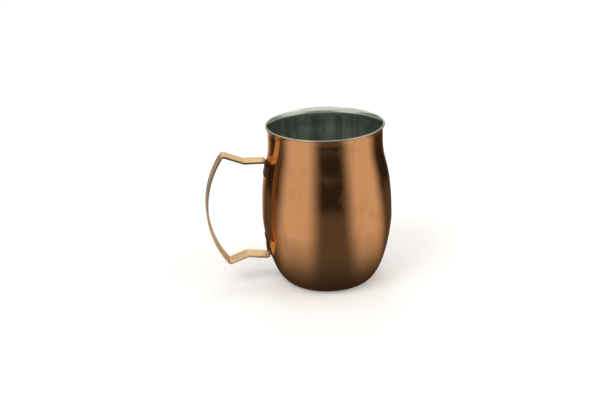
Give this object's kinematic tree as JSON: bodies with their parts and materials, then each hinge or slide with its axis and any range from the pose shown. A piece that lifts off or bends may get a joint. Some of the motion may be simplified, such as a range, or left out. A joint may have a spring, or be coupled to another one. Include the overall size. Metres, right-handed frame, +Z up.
{
  "type": "drinking mug",
  "caption": "Barrel-shaped copper drinking mug with a stainless-steel liner, a rolled rim and an angular bent-strap handle.",
  "frame": {"origin": "on the axis of the barrel, in the plane of the foot ring that the mug stands on", "axes": "+Z up along the axis of the barrel towards its mouth, -X towards the handle's grip, XZ is the mug's plane of symmetry"},
  "size_m": [0.1316, 0.092, 0.1145],
  "materials": {
    "copper": "mirror-polished and lacquered copper, reddish brown",
    "stainless": "satin stainless steel with fine vertical polishing lines, bright at the lip",
    "strap": "satin pale gold copper alloy",
    "braze": "as-brazed, slightly rough"
  },
  "bodies": {
    "root": {"copper_shell": "copper", "steel_liner": "stainless", "base_plate": "copper", "base_seam_braze": "braze", "handle_strap": "strap", "upper_foot_braze": "braze", "lower_foot_braze": "braze"}
  },
  "joints": []
}
